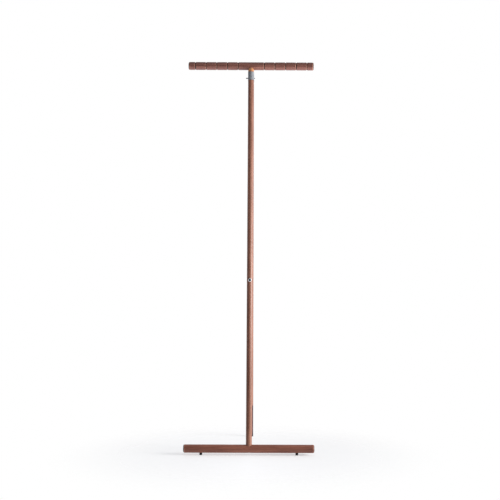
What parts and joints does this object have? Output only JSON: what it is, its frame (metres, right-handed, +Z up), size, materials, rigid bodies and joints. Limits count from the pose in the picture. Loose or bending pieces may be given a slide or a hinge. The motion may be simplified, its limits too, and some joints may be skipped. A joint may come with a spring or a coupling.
{
  "type": "valet stand",
  "caption": "Slim folding wooden valet stand: a T-shaped front half and a rear leg with a grooved hanging bar, hinged near the top by a steel bracket and pin.",
  "frame": {"origin": "on the floor, under the centre of the overall box of the open stand", "axes": "+Z up, X along the two bars, front of the stand towards -Y"},
  "size_m": [0.48, 0.3722, 1.472],
  "materials": {
    "bar_wood": "oiled, satin",
    "pole_wood": "oiled, satin",
    "bracket_steel": "bright zinc, slightly worn",
    "pin_steel": "dark, oiled",
    "bolt_steel": "stainless, satin",
    "screw_steel": "zinc plated",
    "brass": "plain",
    "nylon": "natural",
    "rubber": "matt",
    "strap_leather": "vegetable tanned, waxed edge",
    "sleeve_leather": "dark, smooth"
  },
  "bodies": {
    "front_half": {"bottom_bar": "bar_wood", "front_feet": "rubber", "foot_screws": "screw_steel", "front_pole": "pole_wood", "base_bolt": "screw_steel", "base_insert": "brass", "hinge_bracket": "bracket_steel", "bracket_screws": "screw_steel", "hinge_pin": "pin_steel", "front_stay_bolt": "bolt_steel", "front_stay_nut": "bolt_steel", "front_stay_washer": "bolt_steel", "stay_strap": "strap_leather"},
    "rear_half": {"rear_pole": "pole_wood", "hinge_bush": "brass", "hinge_washers": "nylon", "top_bar": "bar_wood", "top_bolt": "screw_steel", "top_insert": "brass", "top_plug": "bar_wood", "rear_stay_bolt": "bolt_steel", "rear_stay_nut": "bolt_steel", "rear_stay_washer": "bolt_steel", "rear_foot_sleeve": "sleeve_leather", "rear_foot_pad": "rubber", "rear_foot_screw": "screw_steel"}
  },
  "joints": [
    {"name": "rear_leg_fold", "type": "hinge", "parent": "front_half", "child": "rear_half", "pos_m": [0, 0.01424, 1.4115], "axis": [-1, 0, 0], "range_deg": [0, 12], "deforming": ["stay_strap"]}
  ]
}
